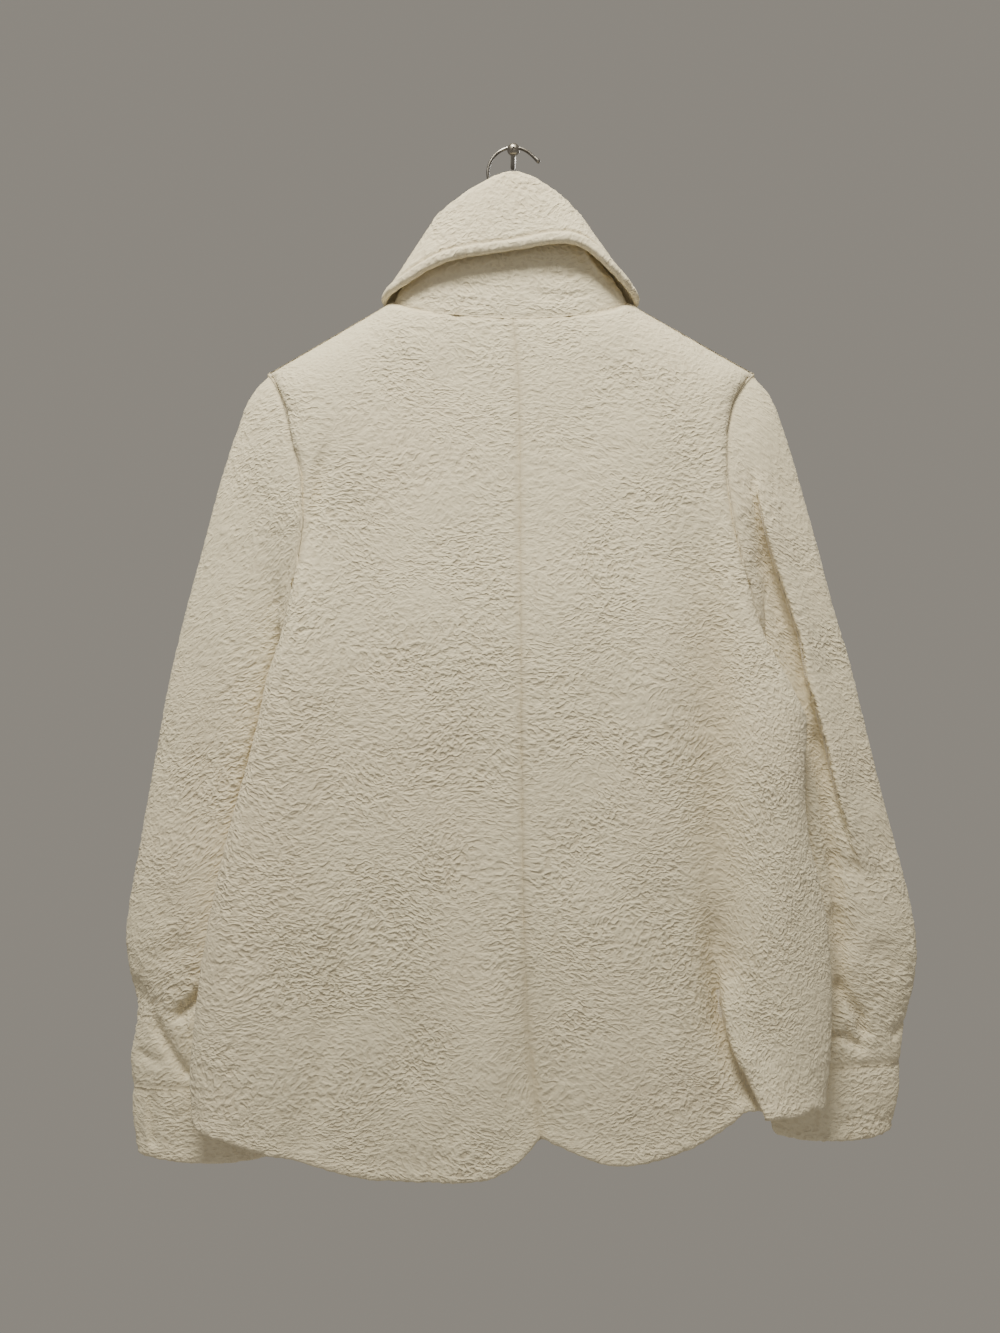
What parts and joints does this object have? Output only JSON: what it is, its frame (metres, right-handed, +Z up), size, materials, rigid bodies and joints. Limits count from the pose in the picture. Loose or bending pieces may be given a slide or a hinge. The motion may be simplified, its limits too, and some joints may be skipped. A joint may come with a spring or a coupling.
{
  "type": "sherpa jacket on a hanger",
  "caption": "Long-sleeved sherpa jacket with a stand-and-fall collar and band cuffs, open at neck, hem and cuffs, hung by its hanger's hook from a wall screw.",
  "frame": {"origin": "centre of the wall screw's flat back end, on the wall", "axes": "+Z up, along the jacket's length; +Y into the wall; the jacket's back faces -Y and the wearer's left is at -X"},
  "size_m": [0.68, 0.0813, 0.8632],
  "materials": {
    "sherpa": "ivory sherpa with a short crinkled pile, matt",
    "hanger_plastic": "plain black, satin",
    "steel_wire": "plain steel"
  },
  "bodies": {
    "root": {"back_left": "sherpa", "back_right": "sherpa", "front_left": "sherpa", "front_right": "sherpa", "sleeve_left": "sherpa", "sleeve_right": "sherpa", "cuff_left": "sherpa", "cuff_right": "sherpa", "collar_stand": "sherpa", "collar_fall": "sherpa", "hanger_body": "hanger_plastic", "hanger_hook": "steel_wire", "wall_screw": "steel_wire"}
  },
  "joints": []
}
